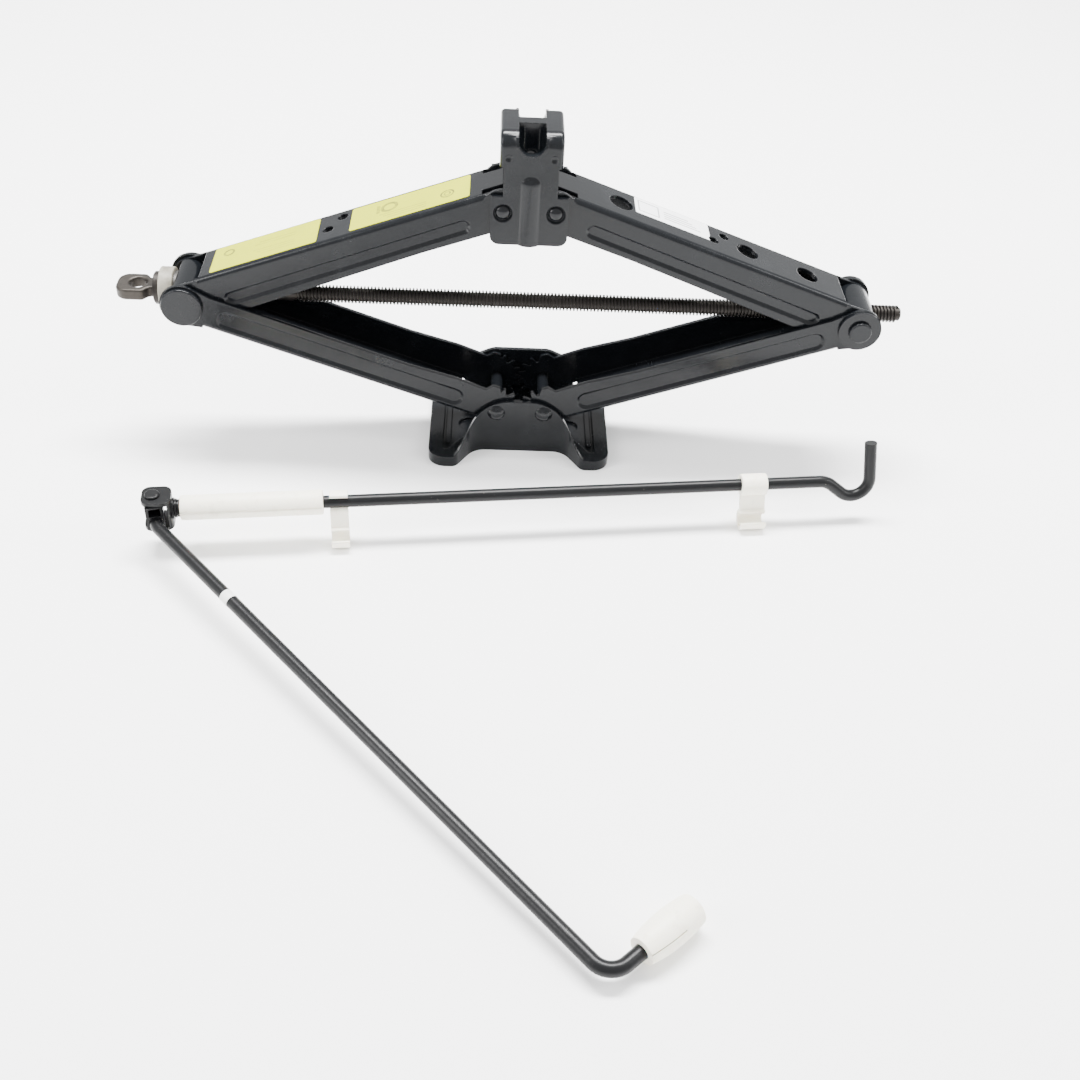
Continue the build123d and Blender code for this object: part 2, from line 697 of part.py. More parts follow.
with BuildPart() as hook_clevis:
    clevis_plane = Plane(origin=hinge_point, x_dir=(cos(turn), sin(turn), 0), z_dir=(0, 0, 1))
    with BuildSketch(clevis_plane.offset(-CLEVIS_HALF)) as plates:
        with Locations((2.1, 0)):
            Rectangle(15.6, 15)
        fillet(plates.vertices(), 4.5)
    extrude(amount=2 * CLEVIS_HALF)
    with BuildSketch(clevis_plane.offset(-CLEVIS_HALF + CLEVIS_SHEET)):
        with Locations((CLEVIS_WALL - 20, 0)):
            Rectangle(40, 40)
    extrude(amount=2 * (CLEVIS_HALF - CLEVIS_SHEET), mode=Mode.SUBTRACT)
    # neck crimped on to the rod in three rings
    for ring, radius in ((0, 5.8), (1.4, 5.2), (2.8, 4.8)):
        with BuildSketch(along_hook(NECK_START - 0.3 + ring)):
            Circle(radius)
        extrude(amount=1.0)
    with BuildSketch(along_hook(NECK_START - 0.3)):
        Circle(4.4)
    extrude(amount=NECK_END - NECK_START)
    with BuildSketch(along_hook(ROD_START)):
        Circle(ROD_R)
    extrude(amount=10, mode=Mode.SUBTRACT)
    with BuildSketch(clevis_plane):
        Circle(2.5)
    extrude(amount=20, both=True, mode=Mode.SUBTRACT)
save(hook_clevis, "hook_clevis")

with BuildPart() as hinge_pin:
    with BuildSketch(clevis_plane.offset(-CLEVIS_HALF + 0.1)):
        Circle(2.5)
    extrude(amount=2 * CLEVIS_HALF - 0.1)
    with BuildSketch(clevis_plane.offset(CLEVIS_HALF)):
        Circle(4.0)
    extrude(amount=1.4)
    fillet(hinge_pin.edges().group_by(Axis.Z)[-1], 0.8)
save(hinge_pin, "hinge_pin")

SWIVEL_HALF = CLEVIS_HALF - CLEVIS_SHEET - 0.15
SWIVEL_SIDE = 4.8
SWIVEL_LENGTH = 8.2
crank_turn = radians(CRANK_TURN)
crank_fall = atan(CRANK_FALL / CRANK_LENGTH)
crank_start = Vector(*CRANK_START)
entry_dir = (hinge_point - crank_start) * -1
entry_dir = Vector(entry_dir.X, entry_dir.Y, 0).normalized()
crank_dir = Vector(cos(crank_turn), sin(crank_turn), -sin(crank_fall)).normalized()

with BuildPart() as crank_swivel:
    swivel_plane = Plane(origin=hinge_point, x_dir=entry_dir, z_dir=(0, 0, 1))
    with BuildSketch(swivel_plane.offset(-SWIVEL_HALF)):
        Circle(SWIVEL_SIDE)
        with Locations((SWIVEL_LENGTH / 2, 0)):
            Rectangle(SWIVEL_LENGTH, 2 * SWIVEL_SIDE)
    extrude(amount=2 * SWIVEL_HALF)
    # open window in the front of the block
    with BuildSketch(Plane(origin=hinge_point + entry_dir * SWIVEL_LENGTH, x_dir=(0, 0, 1), z_dir=entry_dir)):
        with Locations((3.6, 0)):
            Rectangle(5.0, 6.2)
    extrude(amount=-SWIVEL_LENGTH, mode=Mode.SUBTRACT)
    with BuildSketch(swivel_plane):
        Circle(2.5 + RUNNING)
    extrude(amount=20, both=True, mode=Mode.SUBTRACT)
    with BuildSketch(Plane(origin=crank_start - entry_dir * ENTRY, x_dir=(0, 0, 1), z_dir=entry_dir)):
        Circle(ROD_R)
    extrude(amount=ENTRY, mode=Mode.SUBTRACT)
save(crank_swivel, "crank_swivel")

with BuildPart() as crank_rod:
    leg_dir = Vector(cos(radians(LEG_TURN)), sin(radians(LEG_TURN)), 0)
    corner = crank_start + crank_dir * CRANK_LENGTH
    leg_end = corner + leg_dir * (GRIP_END - 3)
    entry = crank_start - entry_dir * ENTRY
    with BuildLine() as crank_path:
        FilletPolyline(entry, crank_start, corner, leg_end, radius=10)
    with BuildSketch(Plane(origin=entry, z_dir=entry_dir)):
        Circle(ROD_R)
    sweep(path=crank_path.line)
save(crank_rod, "crank_rod")

SLEEVE_R = 6.9
SLEEVE_START = 13.8
SLEEVE_LENGTH = 76.6
with BuildPart() as rod_sleeve:
    with BuildSketch(along_hook(SLEEVE_START)):
        Circle(SLEEVE_R)
    extrude(amount=SLEEVE_LENGTH)
    fillet(rod_sleeve.edges().filter_by(GeomType.CIRCLE), 1.2)
    with BuildSketch(along_hook(SLEEVE_START)):
        Circle(ROD_R + RUNNING)
    extrude(amount=SLEEVE_LENGTH, mode=Mode.SUBTRACT)
save(rod_sleeve, "rod_sleeve")


CLIP_TILT = 66.0  # the clips stand on the ground and hold the rod up


def storage_clip(distance, width, tilt, mouth):
    """Moulded clip: a ring round the hook rod, open at the front if mouth is set, with a hooked arm."""
    reach = 20.7
    section = along_hook(distance - width / 2)
    down = radians(tilt)
    tip = (-reach * cos(down), -reach * sin(down))
    with BuildPart() as clip:
        with BuildSketch(section):
            Circle(6.2)
            with Locations(Location((tip[0] / 2, tip[1] / 2, 0), (0, 0, tilt))):
                Rectangle(reach - 8, 2.4)
            with Locations(tip):
                Circle(6.0)
                Circle(3.9, mode=Mode.SUBTRACT)
                with Locations((-4.5, 4.5)):
                    Rectangle(6.5, 6.5, rotation=45, mode=Mode.SUBTRACT)
            Circle(ROD_R, mode=Mode.SUBTRACT)
            if mouth:
                Polygon((0, 0), (-4, 9), (-14, 9), (-14, -4), (-7, -9.5), align=None, mode=Mode.SUBTRACT)
                with Locations(Location((tip[0] / 2, tip[1] / 2, 0), (0, 0, tilt))):
                    Rectangle(reach - 9, 2.4)
        extrude(amount=width)
    return clip


save(storage_clip(98.8, 10.0, CLIP_TILT, True), "sleeve_end_clip")
save(storage_clip(333.8, 14.6, CLIP_TILT, False), "hook_end_clip")


def along_leg(distance):
    """Plane square to the short leg of the crank, z along the leg."""
    return Plane(origin=corner + leg_dir * distance, x_dir=(0, 0, 1), z_dir=leg_dir)


with BuildPart() as crank_grip:
    length = GRIP_END - GRIP_START
    with BuildSketch(Plane(origin=corner + leg_dir * GRIP_START, x_dir=leg_dir, z_dir=crank_dir)):
        with BuildLine():
            Polyline((0, ROD_R + RUNNING), (0, 6.6))
            ThreePointArc((0, 6.6), (length * 0.55, 8.5), (length - 1.5, 7.4))
            ThreePointArc((length - 1.5, 7.4), (length - 0.45, 6.9), (length, 5.9))
            Polyline((length, 5.9), (length, 0), (length - 2.8, 0), (length - 2.8, ROD_R + RUNNING))
            Line((length - 2.8, ROD_R + RUNNING), (0, ROD_R + RUNNING))
        make_face()
    revolve(axis=Axis(corner, leg_dir))
    # slit that lets the mouth spring over the rod
    slit_side = (crank_dir * cos(radians(35)) + Vector(0, 0, 1) * sin(radians(35))).normalized()
    slit_middle = corner + leg_dir * (GRIP_START + SLIT_LENGTH / 2)
    with BuildSketch(Plane(origin=slit_middle, x_dir=leg_dir, z_dir=slit_side)):
        Rectangle(SLIT_LENGTH, 0.6)
    extrude(amount=12, mode=Mode.SUBTRACT)
save(crank_grip, "crank_grip")

with BuildPart() as crank_sticker:
    with BuildSketch(Plane(origin=crank_start + crank_dir * 66, z_dir=crank_dir)):
        Circle(ROD_R + 0.15)
        Circle(ROD_R, mode=Mode.SUBTRACT)
    extrude(amount=6)
save(crank_sticker, "crank_sticker")
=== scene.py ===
import json
from math import cos, hypot, pi, radians, sin

import bmesh
import bpy
from mathutils import Matrix, Vector


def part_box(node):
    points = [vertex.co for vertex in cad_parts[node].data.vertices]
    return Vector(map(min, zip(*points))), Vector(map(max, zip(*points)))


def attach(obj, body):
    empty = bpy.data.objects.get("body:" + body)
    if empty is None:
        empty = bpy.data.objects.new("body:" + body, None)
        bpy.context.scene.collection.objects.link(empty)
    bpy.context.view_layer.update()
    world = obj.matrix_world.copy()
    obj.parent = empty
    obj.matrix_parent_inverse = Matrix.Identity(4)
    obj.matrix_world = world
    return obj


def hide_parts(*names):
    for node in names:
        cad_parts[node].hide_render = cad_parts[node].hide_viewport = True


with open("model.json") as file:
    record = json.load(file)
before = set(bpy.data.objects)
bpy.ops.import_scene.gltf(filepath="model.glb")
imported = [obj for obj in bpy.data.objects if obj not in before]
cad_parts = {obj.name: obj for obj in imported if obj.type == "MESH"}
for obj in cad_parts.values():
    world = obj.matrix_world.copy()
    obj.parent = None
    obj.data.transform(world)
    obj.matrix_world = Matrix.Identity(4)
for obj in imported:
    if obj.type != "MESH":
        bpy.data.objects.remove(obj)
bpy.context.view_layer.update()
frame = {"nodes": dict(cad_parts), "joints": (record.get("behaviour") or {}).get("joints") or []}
nodes = frame["nodes"]


# ------------------------------------------------------------ studio
# A sheet of matt white paper runs under the jack, lit by an even white room, a narrow strip lamp overhead
# and two softer lamps at the sides. The camera looks down on it from the front.
class Flow:
    """A socket of a finish, so that sums on it read as sums."""

    def __init__(self, socket):
        self.socket = socket

    def node(self, kind, settings, inputs, output=0):
        """Adds any node: settings first, then the values or links of its sockets."""
        tree = self.socket.id_data
        made = tree.nodes.new(kind)
        for name, value in settings.items():
            setattr(made, name, value)
        for name, value in inputs.items():
            if isinstance(value, Flow):
                tree.links.new(value.socket, made.inputs[name])
            else:
                made.inputs[name].default_value = value
        return Flow(made.outputs[output])

    def maths(self, operation, first, second=0.0):
        return self.node("ShaderNodeMath", {"operation": operation}, {0: first, 1: second})

    def __add__(self, other):
        return self.maths("ADD", self, other)

    def __radd__(self, other):
        return self.maths("ADD", other, self)

    def __sub__(self, other):
        return self.maths("SUBTRACT", self, other)

    def __rsub__(self, other):
        return self.maths("SUBTRACT", other, self)

    def __mul__(self, other):
        return self.maths("MULTIPLY", self, other)

    def __abs__(self):
        return self.maths("ABSOLUTE", self)

    def above(self, level):
        return self.maths("GREATER_THAN", self, level)

    def below(self, level):
        return self.maths("LESS_THAN", self, level)

    def between(self, low, high):
        return self.above(low) * self.below(high)

    def ramp(self, low, high):
        """0 below low, 1 above high."""
        limits = {"Value": self, "From Min": low, "From Max": high}
        return self.node("ShaderNodeMapRange", {}, limits)

    def noise(self, scale, detail=2.0, roughness=0.5):
        """Clouded pattern; scale is in spots to the metre."""
        pattern = {"Vector": self, "Scale": scale, "Detail": detail, "Roughness": roughness}
        return self.node("ShaderNodeTexNoise", {}, pattern)

    def along(self, direction):
        """How far a point lies along a direction."""
        return self.node("ShaderNodeVectorMath", {"operation": "DOT_PRODUCT"}, {0: self, 1: direction}, 1)

    def stretched(self, scale):
        return self.node("ShaderNodeVectorMath", {"operation": "MULTIPLY"}, {0: self, 1: scale})

    def blend(self, first, second):
        """Colour that goes from first to second as this value goes from 0 to 1."""
        shades = {0: self, 6: rgb(first), 7: rgb(second)}
        return self.node("ShaderNodeMix", {"data_type": "RGBA"}, shades, 2)

    def bump(self, depth, strength, under=None):
        """Relief of that depth in metres, laid over another normal where one is given."""
        inputs = {"Height": self, "Distance": depth, "Strength": strength}
        if under:
            inputs["Normal"] = under
        return self.node("ShaderNodeBump", {}, inputs)

    def rounded_edge(self, radius):
        """Normal that runs softly over sharp edges, as a thick coat or a moulding does."""
        return self.node("ShaderNodeBevel", {"samples": 4}, {"Radius": radius})


def rgb(colour):
    return colour if isinstance(colour, Flow) else (*colour, 1.0)


def finish(name, build, **fixed):
    """Material on a Principled shader: build(place) gives what varies, fixed gives the rest."""
    material = bpy.data.materials.new(name)
    material.use_nodes = True
    tree = material.node_tree
    shader = tree.nodes["Principled BSDF"]
    place = Flow(tree.nodes.new("ShaderNodeTexCoord").outputs["Object"])
    for socket, value in fixed.items():
        shader.inputs[socket.replace("_", " ")].default_value = value
    for socket, value in build(place).items():
        tree.links.new(value.socket, shader.inputs[socket])
    return material


def dress(piece, material, crease=32):
    """Gives a piece its finish, shaded smooth except over creases sharper than that many degrees."""
    piece.data.materials.clear()
    piece.data.materials.append(material)
    piece.data.shade_smooth()
    piece.data.set_sharp_from_angle(angle=radians(crease))


floor_mesh = bmesh.new()
bmesh.ops.create_grid(floor_mesh, x_segments=1, y_segments=1, size=30)
floor = bpy.data.objects.new("floor", bpy.data.meshes.new("floor"))
floor_mesh.to_mesh(floor.data)
floor_mesh.free()
bpy.context.scene.collection.objects.link(floor)
dress(floor, finish(
    "studio_paper",
    lambda place: {"Base Color": place.noise(3).blend((0.95, 0.95, 0.95), (0.97, 0.97, 0.97))},
    Roughness=0.9, Specular_IOR_Level=0.1,
))

world = bpy.data.worlds.new("studio")
world.use_nodes = True
room = world.node_tree.nodes["Background"].inputs
room["Color"].default_value = (1, 1, 1, 1)
room["Strength"].default_value = 1.6
bpy.context.scene.world = world


def softbox(name, place, width, height, power):
    """Flat lamp turned towards the middle of the jack."""
    lamp = bpy.data.lights.new(name, "AREA")
    lamp.shape = "RECTANGLE"
    lamp.size, lamp.size_y = width, height
    lamp.energy = power
    holder = bpy.data.objects.new(name, lamp)
    turn = (JACK_MIDDLE - Vector(place)).to_track_quat("-Z", "Y")
    holder.matrix_world = Matrix.LocRotScale(Vector(place), turn, None)
    bpy.context.scene.collection.objects.link(holder)


JACK_MIDDLE = Vector((0, 0, 0.1))
softbox("overhead_strip", (0.0, 0.45, 1.7), 1.5, 0.36, 165)
softbox("left_lamp", (-1.4, -0.6, 0.9), 0.35, 1.1, 26)
softbox("right_lamp", (1.5, -0.3, 1.0), 0.35, 1.1, 20)

FOCAL, SENSOR = 130 / 3, 36
CAMERA_PLACE = Vector((-0.01959, -0.65422, 0.49096))
YAW, PITCH, ROLL = radians(3.323), radians(41.677), radians(-3.818)
forward = Vector((sin(YAW) * cos(PITCH), cos(YAW) * cos(PITCH), -sin(PITCH)))
level = Vector((cos(YAW), -sin(YAW), 0))
downward = forward.cross(level)
right = cos(ROLL) * level + sin(ROLL) * downward
down = -sin(ROLL) * level + cos(ROLL) * downward
lens = bpy.data.cameras.new("camera")
lens.lens = FOCAL
lens.sensor_width = SENSOR
lens.clip_start = 0.01
camera = bpy.data.objects.new("camera", lens)
axes = Matrix((right, -down, -forward)).transposed()
camera.matrix_world = Matrix.Translation(CAMERA_PLACE) @ axes.to_4x4()
bpy.context.scene.collection.objects.link(camera)
bpy.context.scene.camera = camera


# ------------------------------------------------------------ base plate
# One pressing of 2.5 mm mild steel sheet with a flange turned up front and rear to hold the lower arms'
# rivets, dipped and baked in gloss black enamel. The enamel runs smoothly over cut edges, with a faint
# orange peel.
def enamel(place):
    edge = place.rounded_edge(0.0008)
    peel = place.noise(420, 3).bump(0.00014, 0.32, edge)
    dust = place.noise(55, 5, 0.6).ramp(0.5, 0.78)
    scratches = place.stretched((1.0, 0.12, 1.0)).noise(900, 2).ramp(0.66, 0.78)
    scuff = scratches * place.noise(28, 2).ramp(0.52, 0.66)
    tone = dust * 0.3 + scuff * 0.5
    return {
        "Base Color": tone.blend((0.0035, 0.0042, 0.0052), (0.013, 0.0145, 0.0165)),
        "Roughness": 0.19 + dust * 0.1 + scuff * 0.2,
        "Normal": peel,
    }


def coat(material, *names):
    """Gives a finish to pieces whose solids already have their whole shape."""
    for name in names:
        dress(nodes[name], material)


black_enamel = finish("black_enamel", enamel, IOR=1.29)
coat(black_enamel, "base_plate")


# ------------------------------------------------------------ pivot rivets, caps and nut washers
# Mild steel, cold headed over the flanges and arms once they are stacked, and enamelled with them. The
# enamel is thinner on the crowns, where a little of the steel's grey shows.
def headed_enamel(place):
    edge = place.rounded_edge(0.0004)
    crown = abs(place.along((0, 1, 0))).ramp(0.0196, 0.0236)
    thin = crown * place.noise(330, 4, 0.65).ramp(0.5, 0.72)
    return {
        "Base Color": (thin * 0.15).blend((0.0038, 0.0044, 0.0054), (0.045, 0.045, 0.046)),
        "Roughness": 0.17 + thin * 0.06,
        "Normal": place.noise(380, 3).bump(0.00016, 0.35, edge),
    }


rivet_enamel = finish("rivet_enamel", headed_enamel, IOR=1.3)
coat(rivet_enamel, "base_pivot_rivets", "saddle_pivot_rivets", "trunnion_caps", "nut_washers")


# ------------------------------------------------------------ lower and upper arms
# Four channels folded from 2.2 mm steel sheet with long stiffening beads pressed into their walls, and
# with gear teeth cut in their inner ends. They are enamelled like the base plate.
coat(black_enamel, "lower_left_arm", "lower_right_arm", "upper_left_arm", "upper_right_arm")


# ------------------------------------------------------------ saddle
# A thick strip bent into a deep hood over the arms' ends, with a stiffening rib down each face and a slot
# across its top for the sill's seam. The press leaves the outer edges of its head well rounded.
HEAD_HALF, HEAD_LOW = 0.0167, 0.1839
SADDLE_WALL, SADDLE_TOP, SADDLE_BEND = 0.0194, 0.202, 0.008
HEAD_ROUND = 0.0022


def merged_copy(node):
    """Closed copy of a CAD node's loose triangles, with its flat faces whole."""
    mesh = bmesh.new()
    mesh.from_mesh(nodes[node].data)
    bmesh.ops.remove_doubles(mesh, verts=mesh.verts, dist=0.00001)
    bmesh.ops.dissolve_limit(mesh, angle_limit=radians(1), verts=mesh.verts, edges=mesh.edges)
    return mesh


def on_head_edge(vert):
    """True on the outer edge of the saddle's head, where its side meets the walls, bends and top."""
    past_wall = max(abs(vert.co.y) - SADDLE_WALL + SADDLE_BEND, 0)
    past_top = max(vert.co.z - SADDLE_TOP + SADDLE_BEND, 0)
    at_side = abs(abs(vert.co.x) - HEAD_HALF) < 0.00003 and vert.co.z > HEAD_LOW
    return at_side and hypot(past_wall, past_top) > SADDLE_BEND - 0.0001


def round_over(mesh, edges, radius, segments):
    bmesh.ops.bevel(
        mesh, geom=edges, offset=radius, segments=segments, profile=0.5, affect="EDGES", material=-1,
        clamp_overlap=True,
    )


def finished(mesh, name, body, stands_for, material, crease=32):
    """Turns a mesh's faces outwards and puts it in the scene as a piece."""
    bmesh.ops.recalc_face_normals(mesh, faces=mesh.faces)
    piece = bpy.data.objects.new(name, bpy.data.meshes.new(name))
    mesh.to_mesh(piece.data)
    mesh.free()
    bpy.context.scene.collection.objects.link(piece)
    dress(piece, material, crease)
    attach(piece, body)
    if stands_for:
        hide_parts(stands_for)
    return piece


hood = merged_copy("saddle")
round_over(hood, [edge for edge in hood.edges if all(map(on_head_edge, edge.verts))], HEAD_ROUND, 5)
hood_piece = finished(hood, "saddle_hood", "saddle_head", "saddle", black_enamel)
hood_piece.modifiers.new("flat_walls", "WEIGHTED_NORMAL").keep_sharp = True


# ------------------------------------------------------------ trunnions
# Turned steel barrels across the arms' outer ends: the left one carries the screw's thrust, and the right one
# is tapped for its thread.
coat(black_enamel, "left_trunnion", "nut_trunnion")


# ------------------------------------------------------------ lead screw
# Rolled trapezoidal thread, 10 mm by 2 mm, on a dark oiled steel bar with an upset collar; the left end is
# forged flat and punched into an eye for the handle's hook.
screw_low, screw_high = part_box("lead_screw")
AXIS_Z = (screw_low.z + screw_high.z) / 2
PITCH = 0.002
CREST_R, VALLEY_R, COLLAR_R, BAR_R, JOURNAL_R = 0.005, 0.0038, 0.0094, 0.0046, 0.0049
THREAD_START, THREAD_END = -0.131, screw_high.x - 0.0012
COLLAR_LEFT, COLLAR_RIGHT = -0.211, -0.2074
RUN_OUT, CHAMFER = 0.002, 0.0006
TOOTH = (
    (0, VALLEY_R), (0.28, VALLEY_R), (0.44, CREST_R), (0.76, CREST_R), (0.92, VALLEY_R), (1.0, VALLEY_R),
)


def turned(mesh, outline, turns=1, advance=0.0, steps=48):
    """Adds a shape turned about X from (x, radius) points; an advance makes it a helix."""
    points = [mesh.verts.new((x, 0, radius)) for x, radius in outline]
    edges = [mesh.edges.new(pair) for pair in zip(points, points[1:])]
    bmesh.ops.spin(
        mesh, geom=points + edges, cent=(0, 0, 0), axis=(1, 0, 0), dvec=(advance / steps, 0, 0),
        angle=2 * pi * turns, steps=steps * turns, use_merge=not advance,
    )
    bmesh.ops.remove_doubles(mesh, verts=mesh.verts, dist=0.00002)


def oiled_steel(place):
    crust = place.noise(420, 4, 0.6)
    rubbed = 1 - place.along((1, 0, 0)).ramp(-0.2165, -0.2105)
    oily = crust.blend((0.012, 0.011, 0.010), (0.034, 0.030, 0.027))
    return {
        "Base Color": (rubbed * (0.2 + crust)).blend(oily, (0.042, 0.037, 0.032)),
        "Roughness": 0.36 + crust * 0.2,
        "Normal": (crust + place.noise(1500, 2) * 0.4).bump(0.00015, 0.5),
    }


screw_steel = finish("screw_steel", oiled_steel, Metallic=0.8, IOR=1.4)
thread_turns = int((THREAD_END - THREAD_START) / PITCH) - 1
thread_stop = THREAD_START + PITCH * (thread_turns + 1)
screw_mesh = bmesh.new()
turned(screw_mesh, [(THREAD_START + t * PITCH, r) for t, r in TOOTH], thread_turns, PITCH, 20)
turned(screw_mesh, (
    (THREAD_START + CHAMFER, 0), (THREAD_START + CHAMFER, VALLEY_R), (THREAD_START - RUN_OUT, BAR_R),
    (-0.18, BAR_R), (-0.2, JOURNAL_R), (COLLAR_RIGHT, JOURNAL_R), (COLLAR_RIGHT, COLLAR_R - CHAMFER),
    (COLLAR_RIGHT - CHAMFER, COLLAR_R), (COLLAR_LEFT + CHAMFER, COLLAR_R),
    (COLLAR_LEFT, COLLAR_R - CHAMFER), (COLLAR_LEFT, 0),
))
turned(screw_mesh, (
    (thread_stop - 0.003, 0), (thread_stop - 0.003, VALLEY_R + 0.00005),
    (screw_high.x - CHAMFER, VALLEY_R), (screw_high.x, VALLEY_R - CHAMFER), (screw_high.x, 0),
))
bmesh.ops.translate(screw_mesh, verts=screw_mesh.verts, vec=(0, 0, AXIS_Z))
finished(screw_mesh, "threaded_screw", "screw", None, screw_steel, 40)

EYE_X, EYE_HOLE_R, EYE_HALF, EYE_THICK = -0.2205, 0.0052, 0.0095, 0.0066
EYE_CORNER, SHOULDER_CORNER = 0.0065, 0.0012
NECK = ((COLLAR_LEFT + 0.0004, 0.0050), (-0.2140, 0.0056), (-0.2170, EYE_HALF))
SHOULDER_X = -0.2155
flat = AXIS_Z - EYE_THICK / 2
end = ((screw_low.x, -EYE_HALF), (screw_low.x, EYE_HALF))
blank = [(x, -y) for x, y in NECK] + [*end, *reversed(NECK)]
eye_mesh = bmesh.new()
corners = [eye_mesh.verts.new((x, y, flat)) for x, y in blank]
eye_mesh.faces.new(corners)


def round_corners(mesh, verts, radius, segments):
    bmesh.ops.bevel(
        mesh, geom=verts, offset=radius, segments=segments, profile=0.5, affect="VERTICES", material=-1
    )


round_corners(eye_mesh, corners[3:5], EYE_CORNER, 9)
shoulders = [vert for vert in eye_mesh.verts if abs(vert.co.x - SHOULDER_X) < 0.002]
round_corners(eye_mesh, shoulders, SHOULDER_CORNER, 3)
bmesh.ops.delete(eye_mesh, geom=eye_mesh.faces[:], context="FACES_ONLY")
hole_place = Matrix.Translation((EYE_X, 0, flat))
bmesh.ops.create_circle(eye_mesh, segments=40, radius=EYE_HOLE_R, matrix=hole_place)
bmesh.ops.triangle_fill(eye_mesh, use_beauty=True, edges=eye_mesh.edges[:])
raised = bmesh.ops.extrude_face_region(eye_mesh, geom=eye_mesh.faces[:])["geom"]
top = [part for part in raised if isinstance(part, bmesh.types.BMVert)]
bmesh.ops.translate(eye_mesh, verts=top, vec=(0, 0, EYE_THICK))
eye = finished(eye_mesh, "screw_eye", "screw", "lead_screw", screw_steel)
rounding = eye.modifiers.new("forged_edge", "BEVEL")
rounding.width, rounding.segments = 0.0011, 3
rounding.limit_method, rounding.angle_limit = "ANGLE", radians(50)


# ------------------------------------------------------------ thrust ring
# A moulded bearing ring of greyish cream plastic, 8 mm wide, that takes the screw's pull between its collar
# and the left trunnion. Grease has stained it in patches.
def cream(place):
    stain = place.noise(160, 4, 0.6)
    return {
        "Base Color": stain.ramp(0.4, 0.75).blend((0.24, 0.225, 0.185), (0.12, 0.11, 0.085)),
        "Roughness": 0.40 + stain * 0.15,
        "Normal": place.noise(900, 3).bump(0.0001, 0.4),
    }


coat(finish("ring_plastic", cream, IOR=1.45), "thrust_ring")


# ------------------------------------------------------------ thrust washer and retaining ring
# Plain rings of hard dark steel: the washer lies between the moulded ring and the trunnion, and the
# retaining ring inside the arms keeps the screw from sliding out.
def dark_steel(place):
    grain = place.noise(600, 4, 0.6)
    return {
        "Base Color": grain.blend((0.03, 0.029, 0.028), (0.075, 0.07, 0.065)),
        "Roughness": 0.35 + grain * 0.2,
        "Normal": grain.bump(0.0001, 0.4),
    }


coat(finish("dark_washer_steel", dark_steel, Metallic=0.7), "thrust_washer", "screw_retaining_ring")


# ------------------------------------------------------------ labels
# Two bright yellow films and a white one, printed and stuck on the upper arms' webs before the jack is
# packed. Their print is plain marks only, rubbed thin in places.
UPPER_SLOPE = radians(20)
PIVOT_X, PIVOT_Z = 0.01425, 0.028 + 2 * 0.190 * sin(UPPER_SLOPE)


def on_film(place, side):
    """Distance out from the saddle pivot along an upper arm, and across it, in millimetres."""
    out = place.along((side * cos(UPPER_SLOPE), 0, -sin(UPPER_SLOPE)))
    start = PIVOT_X * cos(UPPER_SLOPE) - PIVOT_Z * sin(UPPER_SLOPE)
    return (out - start) * 1000, place.along((0, 1, 0)) * 1000


def block(out, across, left, right, low, high):
    """Printed bar between those limits."""
    return out.between(left, right) * across.between(low, high)


def ring_mark(out, across, x, y, radius, line):
    """Printed ring about a point of the film; line is half its width."""
    span = (out - x) * (out - x) + (across - y) * (across - y)
    return abs(span.maths("POWER", span, 0.5) - radius).below(line)


def yellow(place):
    out, across = on_film(place, -1)
    marks = ring_mark(out, across, 159, 4.5, 2.9, 0.6)
    for low in (-8, -5.4, -2.8, 3, 5.6):
        marks = marks + block(out, across, 118, 146 - abs(low), low, low + 0.9) * 0.35
    marks = marks + ring_mark(out, across, 28, -2, 3.6, 0.5) + ring_mark(out, across, 28, -2, 1.7, 0.4)
    marks = marks + ring_mark(out, across, 62, 2.6, 4.2, 1.0) * 0.8
    marks = marks + block(out, across, 67.5, 69.5, -1.6, 6.8) * 0.7
    for low in (-9.5, -7.0, -4.6):
        marks = marks + block(out, across, 40, 72 - abs(low), low, low + 0.8) * 0.5
    wear = place.noise(240, 4, 0.65).ramp(0.38, 0.62)
    ink = marks.maths("MINIMUM", marks, 1.0) * (0.45 + wear * 0.5)
    film = place.noise(60, 3).blend((0.36, 0.39, 0.0), (0.43, 0.45, 0.0))
    return {
        "Base Color": ink.blend(film, (0.05, 0.05, 0.02)),
        "Roughness": 0.34 + wear * 0.14,
        "Normal": place.noise(500, 3).bump(0.0001, 0.35),
    }


def white(place):
    out, across = on_film(place, 1)
    marks = block(out, across, 45, 58, -1, 11) * (1 - block(out, across, 45.8, 57.2, -0.2, 10.2))
    for low in (0.5, 2.9, 5.3, 7.7):
        marks = marks + block(out, across, 61, 84 - low, low, low + 0.9)
    ink = marks.maths("MINIMUM", marks, 1.0) * 0.7
    film = place.noise(90, 3).blend((0.86, 0.87, 0.88), (0.78, 0.79, 0.80))
    return {
        "Base Color": ink.blend(film, (0.05, 0.05, 0.055)),
        "Roughness": 0.3 + place.noise(300) * 0.15,
        "Normal": place.noise(500, 3).bump(0.0001, 0.3),
    }


coat(finish("yellow_film", yellow, IOR=1.4), "outer_yellow_label", "inner_yellow_label")
coat(finish("white_film", white, IOR=1.46), "white_label")


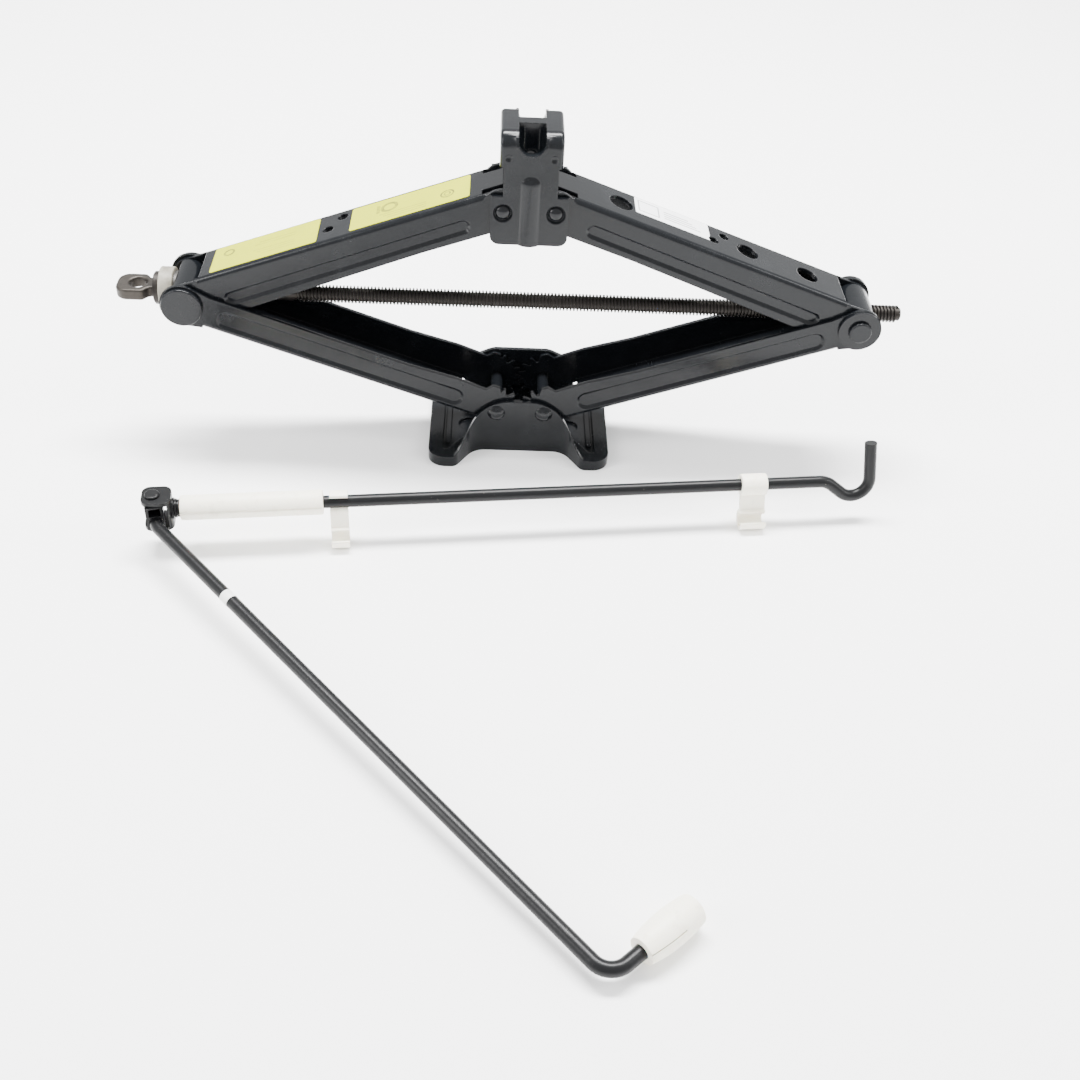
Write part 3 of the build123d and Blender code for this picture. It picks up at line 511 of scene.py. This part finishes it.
# ------------------------------------------------------------ handle: hook rod, clevis, swivel and crank rod
# Cold-drawn 7 mm steel rod, bent cold; a folded sheet clevis is crimped on the hook rod and a pin holds the
# swivel on the crank's end in it. All of it is dipped in black enamel, which chips off in specks.
def rod_coat(place):
    edge = place.rounded_edge(0.0005)
    drawn = place.noise(260, 4, 0.6)
    chips = place.noise(900, 3).ramp(0.7, 0.76) * place.noise(45, 2).ramp(0.55, 0.62)
    return {
        "Base Color": chips.blend((0.0042, 0.0044, 0.0048), (0.10, 0.095, 0.085)),
        "Roughness": 0.27 + drawn * 0.12,
        "Normal": place.noise(520, 3).bump(0.00012, 0.35, edge),
    }


rod_enamel = finish("rod_enamel", rod_coat, IOR=1.27)
coat(rod_enamel, "hook_rod", "hook_clevis", "hinge_pin", "crank_swivel", "crank_rod")


# ------------------------------------------------------------ turning sleeve
# A length of off-white plastic tube, split down one side so that it springs over the hook rod, where it
# turns freely in the hand. Its rims are rounded.
SLEEVE_R, SLEEVE_BORE, RIM = 0.0069, 0.00355, 0.0011
SLEEVE_LEFT, SLEEVE_RIGHT = -0.0382, 0.0384
SEAM_RISE, SEAM_HALF, SEAM_DEPTH = radians(12), radians(2.6), 0.00055


def ivory(place):
    edge = place.rounded_edge(0.0006)
    grime = place.noise(190, 5, 0.62).ramp(0.55, 0.85)
    return {
        "Base Color": (grime * 0.6).blend((0.90, 0.865, 0.74), (0.60, 0.54, 0.42)),
        "Roughness": 0.44 + grime * 0.2,
        "Normal": place.noise(1100, 3).bump(0.00012, 0.4, edge),
    }


ivory_plastic = finish("ivory_plastic", ivory, IOR=1.46, Subsurface_Weight=0.08, Subsurface_Scale=0.002)
sleeve_joint = next(joint for joint in frame["joints"] if joint["name"] == "sleeve_turn")
sleeve_axis = Vector(sleeve_joint["axis"])
rim = ((0, RIM), (RIM * 0.3, RIM * 0.3), (RIM, 0))
sleeve_mesh = bmesh.new()
turned(sleeve_mesh, [
    (SLEEVE_LEFT, SLEEVE_BORE),
    *((SLEEVE_LEFT + inset, SLEEVE_R - drop) for inset, drop in rim),
    *((SLEEVE_RIGHT - inset, SLEEVE_R - drop) for inset, drop in reversed(rim)),
    (SLEEVE_RIGHT, SLEEVE_BORE),
    (SLEEVE_LEFT, SLEEVE_BORE),
], steps=90)
lay = sleeve_axis.to_track_quat("X", "Z")
bmesh.ops.rotate(sleeve_mesh, verts=sleeve_mesh.verts, matrix=lay.to_matrix())
seam_side = Vector((0, -cos(SEAM_RISE), sin(SEAM_RISE)))
seam_side = (seam_side - sleeve_axis * seam_side.dot(sleeve_axis)).normalized()
for vert in sleeve_mesh.verts:
    outward = vert.co - sleeve_axis * vert.co.dot(sleeve_axis)
    on_outside = outward.length > SLEEVE_R - RIM * 1.1
    if on_outside and outward.normalized().dot(seam_side) > cos(SEAM_HALF):
        vert.co -= outward.normalized() * SEAM_DEPTH
bmesh.ops.translate(sleeve_mesh, verts=sleeve_mesh.verts, vec=sleeve_joint["pos_m"])
finished(sleeve_mesh, "split_sleeve", "sleeve", "rod_sleeve", ivory_plastic, 38)


# ------------------------------------------------------------ storage clips
# Two clips moulded in the same off-white plastic. Each is a ring round the hook rod with an arm and an open
# hook, where another rod of the tool kit is pressed in. The mould leaves their edges rounded.
CLIP_ROUND = 0.0004
for node, name in (("sleeve_end_clip", "open_clip"), ("hook_end_clip", "closed_clip")):
    clip = merged_copy(node)
    rims = [edge for edge in clip.edges if edge.is_manifold and edge.calc_face_angle() > radians(50)]
    round_over(clip, rims, CLIP_ROUND, 3)
    finished(clip, name, "handle", node, ivory_plastic)


# ------------------------------------------------------------ knob
# A barrel moulded in off-white plastic and pushed over the crank's short leg, with a slit in its mouth that
# lets it spring on. It turns in the hand.
coat(ivory_plastic, "crank_grip")


# ------------------------------------------------------------ sticker
# A narrow band of white coated paper, wrapped once round the crank rod near its hinge and held by its own
# glue. It is blank and a little faded.
def paper(place):
    fade = place.noise(300, 3)
    return {
        "Base Color": fade.blend((0.8, 0.8, 0.78), (0.66, 0.66, 0.63)),
        "Roughness": 0.35 + fade * 0.2,
    }


coat(finish("crank_sticker", paper), "crank_sticker")
